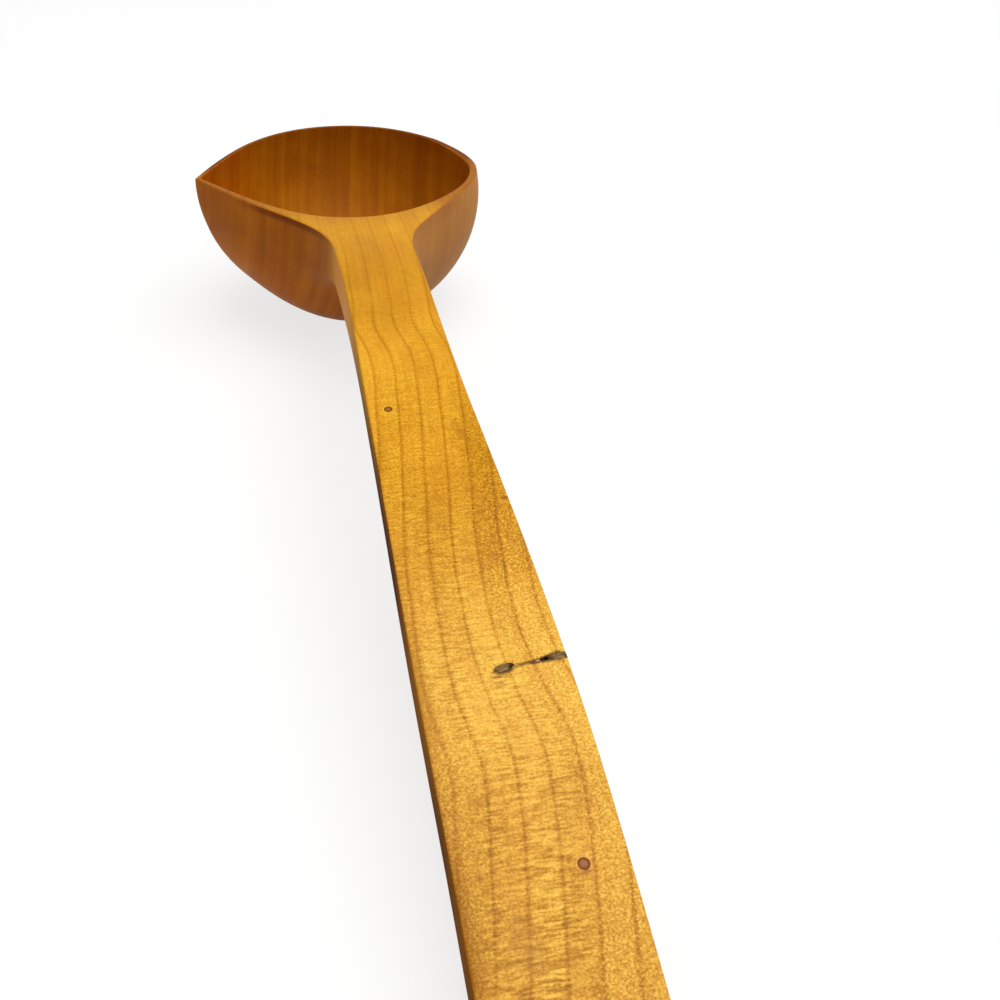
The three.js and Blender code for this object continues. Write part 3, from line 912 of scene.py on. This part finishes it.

# %% [markdown]
# The tone of the wood is the sum of all that: it starts at a middle value, changes slowly along the
# handle and in cloudy patches, and each figure pulls it up or down by an amount times its
# strengths. The change along the handle is partly painted light: its brightest bands are painted
# highlights where the arched top catches the lamp. The right half of the top is darker between 110
# and 200 millimetres and painted lighter, a highlight, by the grip. A Color Ramp then turns tone
# into the ambers of this oiled wood. By the grip, where hands have rubbed the oil out, the same
# ambers are a little paler.

# %% From tone to colour
tone, right_curve = (
    add(wood, "FloatCurve", {"Value": share_along}, points=along_the_blank(places))
    for places in [
        # Tone along the handle, partly painted highlights: the bands near 118 to 136 and 212 to 243
        # mm.
        [(-45, 0.5), (40, 0.48), (70, 0.38), (96, 0.38), (118, 0.52), (136, 0.55), (158, 0.5),
         (178, 0.46), (196, 0.48), (212, 0.58), (230, 0.64), (243, 0.58), (258, 0.49),
         (272, 0.48), (284, 0.45), (300, 0.45), (338, 0.5)],
        # The right half of the top: darker between 110 and 200 mm, painted highlight by the grip.
        [(-45, 0.5), (105, 0.45), (125, 0.15), (155, 0.1), (191, 0.2), (204, 0.6), (214, 0.7),
         (235, 0.5), (262, 0.85), (338, 0.85)],
    ])
right_side = add(wood, "MapRange", [y], span=(-6.0, 9.0))
right_brighter = add(wood, "MapRange", [right_curve], span=(0, 1, -1.0, 1.0))
clouds = drawn_noise(in_millimetres, (0.06, 0.13, 0.13))
figures = [
    (0.055, clouds),
    (0.1, right_side, right_brighter),
    (0.04, layer_tint),
    (0.035, faint_line),
    (0.07, soft_band, off_top),
    (0.16, fibres, fibres_along),
    (0.22, ripple, ripple_along, ripple_across, patches),
    (0.22, maze, maze_along, maze_across, maze_side),
    (0.12, streak, streak_along, streak_across),
    (-0.15, growth_line, line_fade, line_on_top, line_along),
]
for figure, *factors in figures:
    for factor in factors:
        figure = add(wood, "Math MULTIPLY", [figure, factor])
    tone = add(wood, "Math ADD", [tone, figure])
amber_ramp = add(wood, "ValToRGB", {"Fac": tone}, stops=[
    (0.0, "#9C6200"), (1.0, "#FFD458"), (0.25, "#BE7E04"), (0.45, "#D9971B"), (0.6, "#ECAE2C"),
    (0.8, "#F8C442")])
rubbed = add(wood, "MapRange", [x], span=(160.0, 235.0, 1.0, 0.955), **smooth)
hue_drift = add(wood, "MapRange", [patches], span=(0.5, 1.0, 0.498, 0.502))
amber = add(wood, "HueSaturation", {"Color": amber_ramp, "Hue": hue_drift, "Saturation": rubbed})
print("Figures in the tone:", len(figures))

# %% [markdown]
# Oil sinks deepest into end grain, so the walls of the bowl are darker and redder than the top of
# the handle. Light and shade are painted in as well. The right outside wall, turned to the lamp, is
# paler with a painted sheen, and the left one is darker and redder. The hollow is darkest, painted
# shade in the deep bowl, with painted light on its lip side. The left side of the grip is painted
# dark, the shade of the side turned from the lamp. Painted shade lies just under the edge of the
# cove, and painted light makes the left side of the neck paler. The top is also darker and redder
# near the bowl and on the far rim. Every place has a name, with a mask that is 1 there, and a tint
# lies where all of its masks do. A tint that multiplies lets the figure show through, and one that
# mixes makes the wood paler.

# %% Darker hollow, sides and rim, with painted light and shade
masks = {
    "hollow": in_hollow, "side": on_side,
    "top": add(wood, "Math SUBTRACT", [1.0, off_top]),
    "outside": add(wood, "Math SUBTRACT", [on_side, in_hollow], use_clamp=True),
}
for place, value, *ends in [
    ("by bowl", x, 58, 20), ("bowl side", x, 90, 42), ("far rim", x, 4, -8), ("lip", y, -20, -38),
    ("from cove", x, 18, 34), ("to neck", x, 60, 45), ("from neck", x, 54, 70),
    ("to handle", x, 128, 86), ("grip", x, 75, 200), ("left", facing_right, 0.3, -0.3),
    ("right", facing_right, -0.3, 0.3), ("shaded_left", facing_right, -0.35, -0.85),
    ("high up", z, 12, 40), ("thin shade", depth, -3, -1.4), ("wide shade", depth, -7, -1.4),
    ("low down", depth, -0.8, -3.5),
]:
    masks[place] = add(wood, "MapRange", [value], span=ends, **smooth)
wood_colour = amber.outputs[0]
tints = [
    (1.0, ["by bowl", "top"], "MULTIPLY", "#BB9DAA"),
    (1.0, ["far rim", "top"], "MULTIPLY", "#B09070"),
    # Over the darker end grain, painted light: the right outside wall, turned to the lamp, is
    # paler, and the left is darker and redder, most of all high up.
    (1.0, ["outside", "bowl side", "right"], "MULTIPLY", "#E1D4EC"),
    (1.0, ["outside", "bowl side", "left"], "MULTIPLY", "#F3BF94"),
    (1.0, ["outside", "bowl side", "left", "high up"], "MULTIPLY", "#E2E2E6"),
    # Painted shade just under the edge of the cove, thin on the left and wide on the right.
    (1.0, ["outside", "from cove", "to neck", "left", "thin shade"], "MULTIPLY", "#C0A890"),
    (1.0, ["outside", "from cove", "to neck", "right", "wide shade"], "MULTIPLY", "#ECDCC8"),
    # Painted shade on the left side of the grip, which is turned from the lamp, darkest low down.
    (1.0, ["shaded_left", "grip"], "MULTIPLY", "#8E7438"),
    (1.0, ["shaded_left", "grip", "low down"], "MULTIPLY", "#A08C70"),
    # Painted shade in the hollow of the bowl, a little darker high up on its steep wall.
    (1.0, ["hollow"], "MULTIPLY", "#C4A41A"),
    (1.0, ["hollow", "high up"], "MULTIPLY", "#F6F0FF"),
    # Painted sheen on the right outside wall.
    (0.35, ["outside", "bowl side", "right"], "MIX", "#C8845C"),
    # Painted light on the left side of the neck.
    (0.65, ["side", "from neck", "to handle", "left"], "MIX", "#FFAA42"),
    # Painted light on the lip side of the hollow, which faces the lamp.
    (0.2, ["hollow", "lip"], "MIX", "#E05A00"),
]
for where, places, blend, tint in tints:
    for place in places:
        where = add(wood, "Math MULTIPLY", [where, masks[place]])
    wood_colour = add(wood, "Mix", {0: where, 6: wood_colour, 7: colour(tint)},
                      data_type="RGBA", blend_type=blend).outputs[2]
print("Tints laid over the amber:", len(tints))

# %% [markdown]
# Around the knots and the bark the wood is stained. Along the left edge of the grip two long
# ellipses paint the shade of the edge turned from the lamp, and one on the neck paints the shade
# where its top bends. Each such mark is an ellipse, seen from above, with its middle, its half
# lengths, its turn, how soft it is, a colour and a strength. The fibres fray its border. One loop
# adds them all, later ones over earlier.

# %% Stains around knots and bark, and painted shade
fraying = 0.12
stains_and_painted_shade = [
    # x, y, half along, half across, degrees, softness, colour, strength
    # Painted shade where the top of the neck bends.
    (99.0, -4.0, 5.0, 5.0, 0, 1.0, "#C88420", 0.3),
    (275.5, -5.5, 8.5, 4.6, 0, 0.9, "#C4883E", 0.35),
    # Painted shade along the left edge of the grip, which is turned from the lamp.
    (225.0, -15.8, 34.0, 6.0, 0, 0.9, "#AC6C18", 0.7),
    (272.0, -16.5, 36.0, 6.0, 0, 1.0, "#94580E", 0.85),
    (158.0, 8.2, 8.5, 2.0, 13, 1.0, "#B0700F", 0.65),
    (*near_knot_spot, 2.0, 1.7, 0, 0.6, "#E0A268", 0.6),
    (264.9, 7.1, 0.8, 1.2, 0, 0.8, "#A05828", 0.65),
    (*far_knot_spot, 1.5, 1.4, 0, 0.8, "#B07A20", 0.5),
    (224.0, 2.6, 2.0, 3.5, 13, 0.9, "#9A6420", 0.7),
    (224.0, 2.6, 1.15, 2.7, 13, 0.5, "#553412", 0.9),
    (227.6, 0.9, 0.6, 1.6, 8, 0.9, "#A8661E", 0.6),
    (225.5, 0.9, 0.3, 1.8, -2, 0.6, "#7A4C20", 0.7),
    (226.7, 1.0, 0.25, 1.4, -2, 0.6, "#8A5A22", 0.7),
    (223.3, 6.6, 0.75, 3.4, 8, 0.8, "#7A4C1C", 0.85),
    (223.1, 9.3, 0.9, 2.2, 8, 0.6, "#4E2C12", 0.85),
    (223.0, 9.5, 0.22, 0.8, 8, 0.6, "#D8A888", 0.8),
    (222.8, 11.3, 1.2, 1.8, 6, 0.6, "#3A2010", 0.85),
    (222.5, 13.2, 1.35, 2.9, 3, 0.5, "#46301A", 0.85),
    (179.8, 13.0, 0.55, 1.3, 10, 0.7, "#7A3A18", 0.8),
]
from_above = add(wood, "CombineXYZ", [x, y])
for middle_x, middle_y, half_x, half_y, turn, softness, mark_colour, strength in stains_and_painted_shade:
    placed = add(wood, "Mapping", {
        "Vector": from_above, "Scale": (half_x, half_y, 1), "Rotation": (0, 0, math.radians(turn)),
        "Location": (middle_x, middle_y, 0)}, vector_type="TEXTURE")
    from_middle = add(wood, "VectorMath LENGTH", [placed]).outputs["Value"]
    frayed = add(wood, "Math MULTIPLY_ADD", [fibres, fraying, from_middle])
    share = add(wood, "MapRange", [frayed], span=(1.0, 1 - softness, 0, strength), **smooth)
    wood_colour = add(wood, "Mix", {0: share, 6: wood_colour, 7: colour(mark_colour)},
                      data_type="RGBA").outputs[2]
print("Stains:", len(stains_and_painted_shade))

# %% [markdown]
# Oiled wood is satin: a soft sheen, a little uneven because fibres lie at different
# angles, and duller where the side of the grip has been handled. Oil soaked into the
# pores reflects much less than a film of varnish would, so the specular level is low. The
# ripples and fibres that colour the wood also lift it by hundredths of a millimetre.

# %% Sheen and relief
wood_ior, low_specular, handled_dulling = 1.45, 0.1, 0.35
ripple_lift, relief_depth = 0.5, 0.03 * METRES


def cover(pieces, material, look):
    """Ends a material in a surface with this look and gives it to pieces."""
    tree, shine = material.node_tree, {"Specular IOR Level": low_specular}
    add(tree, "OutputMaterial", {"Surface": add(tree, "BsdfPrincipled", {**look, **shine})})
    for piece in pieces:
        piece.data.materials.clear()
        piece.data.materials.append(material)
    print("Nodes in", material.name, len(tree.nodes))


relief_height = add(wood, "Math MULTIPLY_ADD", [ripple, ripple_lift, fibres])
relief = add(wood, "Bump", {"Height": relief_height, "Strength": 0.35, "Distance": relief_depth})
satin = add(wood, "MapRange", [clouds], span=(-1.0, 1.0, 0.52, 0.58))
shaded_left = add(wood, "Math MULTIPLY", [masks["shaded_left"], masks["grip"]])
dulled = add(wood, "Math MULTIPLY_ADD", [shaded_left, handled_dulling, satin])
cover([body], maple, {
    "Base Color": wood_colour, "Roughness": dulled, "IOR": wood_ior, "Normal": relief})

# %% [markdown]
# A pin knot is the end grain of a twig, soaked with the same oil: a paler middle and a
# dark ring where its own thin bark was. The rings are the distance from the knot's own
# middle, bent a little by a noise, and one ramp colours them. The two twigs differ, one
# amber and one red brown, so one loop makes both materials.

# %% Oiled knot wood
knot_noise_waves, ring_wobble, knot_relief_depth = 2.2, 0.35, 0.04 * METRES
for piece, name, pith, middle, ring, bark_line in [
    (far_knot, "oiled_amber_knot_wood", "#7E5414", "#946620", "#684008", "#5A3806"),
    (near_knot, "oiled_brown_knot_wood", "#A06C46", "#A46E44", "#8C5220", "#885020"),
]:
    knot_wood, tree = new_tree(name)
    place = add(tree, "TexCoord").outputs["Object"]
    flat = add(tree, "VectorMath MULTIPLY", [place, (*to_millimetres[:2], 0)])
    uneven = add(tree, "TexNoise", {"Vector": flat, "Scale": knot_noise_waves, "Detail": 2.0})
    from_pith = add(tree, "VectorMath LENGTH", [flat]).outputs["Value"]
    radius = add(tree, "Math MULTIPLY_ADD", [uneven, ring_wobble, from_pith])
    knot_colour = add(tree, "ValToRGB", {"Fac": radius}, stops=[
        (0.1, pith), (1.15, bark_line), (0.3, middle), (0.65, middle), (0.92, ring)])
    grain = add(tree, "Bump", {"Height": uneven, "Strength": 0.4, "Distance": knot_relief_depth})
    cover([piece], knot_wood, {
        "Base Color": knot_colour, "Roughness": 0.5, "IOR": wood_ior, "Normal": grain})

# %% [markdown]
# Bark that a tree has closed over is dry, crumbly and dull, olive brown in the middle of
# a pocket and nearly black at its ends. A noise with crumbs of a third of a millimetre
# colours it through a ramp and roughens it, and its place along the pocket darkens both
# ends. It drinks the oil, so it is rougher than the wood and hardly shines.

# %% Grown-in bark
pocket_middle, crumb_height = 1.7, 0.1 * METRES
bark, tree = new_tree("grown_in_bark")
place = add(tree, "TexCoord").outputs["Object"]
in_bark = add(tree, "VectorMath MULTIPLY", [place, to_millimetres])
stretched = add(tree, "Mapping", {"Vector": in_bark, "Scale": (3.0, 1.2, 2.0)})
crumbs = add(tree, "TexNoise", {"Vector": stretched, "Scale": 1, "Detail": 3, "Roughness": 0.6})
along_pocket = add(tree, "SeparateXYZ", [in_bark]).outputs[1]
past_middle = add(tree, "Math SUBTRACT", [along_pocket, pocket_middle])
off_centre = add(tree, "Math ABSOLUTE", [past_middle])
darker_end = add(tree, "MapRange", [off_centre], span=(0.8, 1.9, 0.07, -0.26))
bark_tone = add(tree, "Math ADD", [crumbs, darker_end])
bark_colour = add(tree, "ValToRGB", {"Fac": bark_tone}, stops=[
    (0.25, "#38220E"), (0.75, "#A88E62"), (0.42, "#6A4E2A"), (0.55, "#846A42")])
crust = add(tree, "Bump", {"Height": crumbs, "Strength": 0.8, "Distance": crumb_height})
cover([inner_bark, outer_bark], bark, {
    "Base Color": bark_colour, "Roughness": 0.75, "Normal": crust})

# %% [markdown]
# The camera stands where the photograph was taken: behind and above the end of the
# handle, which runs out of the frame, so the bowl looks small and far away. Its place,
# lens and three angles were fitted to the level rim and the straight edges. A camera looks
# straight down until it is turned: tilt and heading give it its line of sight, and roll
# then turns the picture around that line.

# %% The camera
camera_place = Vector((0.37670, -0.04559, 0.18971))
heading, tilt, roll = -0.2655, 0.6275, -0.0521
lens, sensor, nearest_seen = 42.4, 36.0, 0.01
camera_data = bpy.data.cameras.new("camera")
camera_data.lens, camera_data.sensor_width, camera_data.clip_start = lens, sensor, nearest_seen
camera = bpy.data.objects.new("camera", camera_data)
turned = (Matrix.Rotation(math.pi / 2 + heading, 4, "Z")
          @ Matrix.Rotation(math.pi / 2 - tilt, 4, "X"))
rolled = Matrix.Rotation(-roll, 4, "Z")
camera.matrix_world = Matrix.Translation(camera_place) @ turned @ rolled
bpy.context.scene.collection.objects.link(camera)
bpy.context.scene.camera = camera
print("The camera looks along", [round(-value, 3) for value in turned.col[2][:3]])

# %% [markdown]
# The photograph has a white ground. Its white must not come from more light on the
# wood, so the floor has two looks: to the camera, and in reflections, it is mostly a
# white glow that still takes a soft shadow, while for the light that bounces up from it
# it is plain pale paint. The world does the same, white to see and dimmer as a light.

# %% Floor and world
def seen_directly(tree):
    """1 for the camera's view, also by reflection and through glass, and 0 for bounced light."""
    ray = add(tree, "LightPath").outputs
    seen = add(tree, "Math MAXIMUM", [ray["Is Camera Ray"], ray["Is Glossy Ray"]])
    return add(tree, "Math MAXIMUM", [seen, ray["Is Transmission Ray"]])


floor_size, glow_share, sky_strength = 6.0, 0.75, 0.33
white, pale_grey = colour("#FFFFFF"), colour("#BEBEBE")
bpy.ops.mesh.primitive_plane_add(size=floor_size)
floor = bpy.context.active_object
floor.name = "pale_floor"
floor_paint, tree = new_tree("pale_floor_paint")
with_shadow = add(tree, "BsdfDiffuse", {"Color": white})
glow = add(tree, "Emission", {"Color": white, "Strength": 1.0})
seen_floor = add(tree, "MixShader", [glow_share, with_shadow, glow])
bounce = add(tree, "BsdfDiffuse", {"Color": pale_grey})
both = add(tree, "MixShader", [seen_directly(tree), bounce, seen_floor])
add(tree, "OutputMaterial", {"Surface": both})
floor.data.materials.append(floor_paint)

world = bpy.data.worlds.new("studio")
bpy.context.scene.world = world
world.use_nodes = True
tree = world.node_tree
tree.nodes.clear()
strength = add(tree, "MapRange", [seen_directly(tree)], span=(0, 1, sky_strength, 1.0))
sky = add(tree, "Background", {"Color": white, "Strength": strength})
add(tree, "OutputWorld", {"Surface": sky})
print("Floor, m:", floor_size, "sky strength:", sky_strength)

# %% [markdown]
# One large lamp hangs over the ladle, a little to the right of it. It is wider than
# the ladle is long, so its shadows are soft, and it leaves the wood at the brightness its
# colours were written for. The Standard view shows those colours unchanged.

# %% The lamp
lamp_size, lamp_watts, lamp_distance = 1.3, 19.0, 1.4
over_the_neck = Vector((0.12, 0, 0))
towards_lamp = Vector((0, 0.2, 0.98)).normalized()
lamp_data = bpy.data.lights.new("softbox", "AREA")
lamp_data.size, lamp_data.energy = lamp_size, lamp_watts
lamp = bpy.data.objects.new("softbox", lamp_data)
lamp.location = over_the_neck + towards_lamp * lamp_distance
lamp.rotation_euler = towards_lamp.to_track_quat("Z", "Y").to_euler()
bpy.context.scene.collection.objects.link(lamp)
bpy.context.scene.view_settings.view_transform = "Standard"
print("Lamp height, m:", round(lamp.location.z, 2))
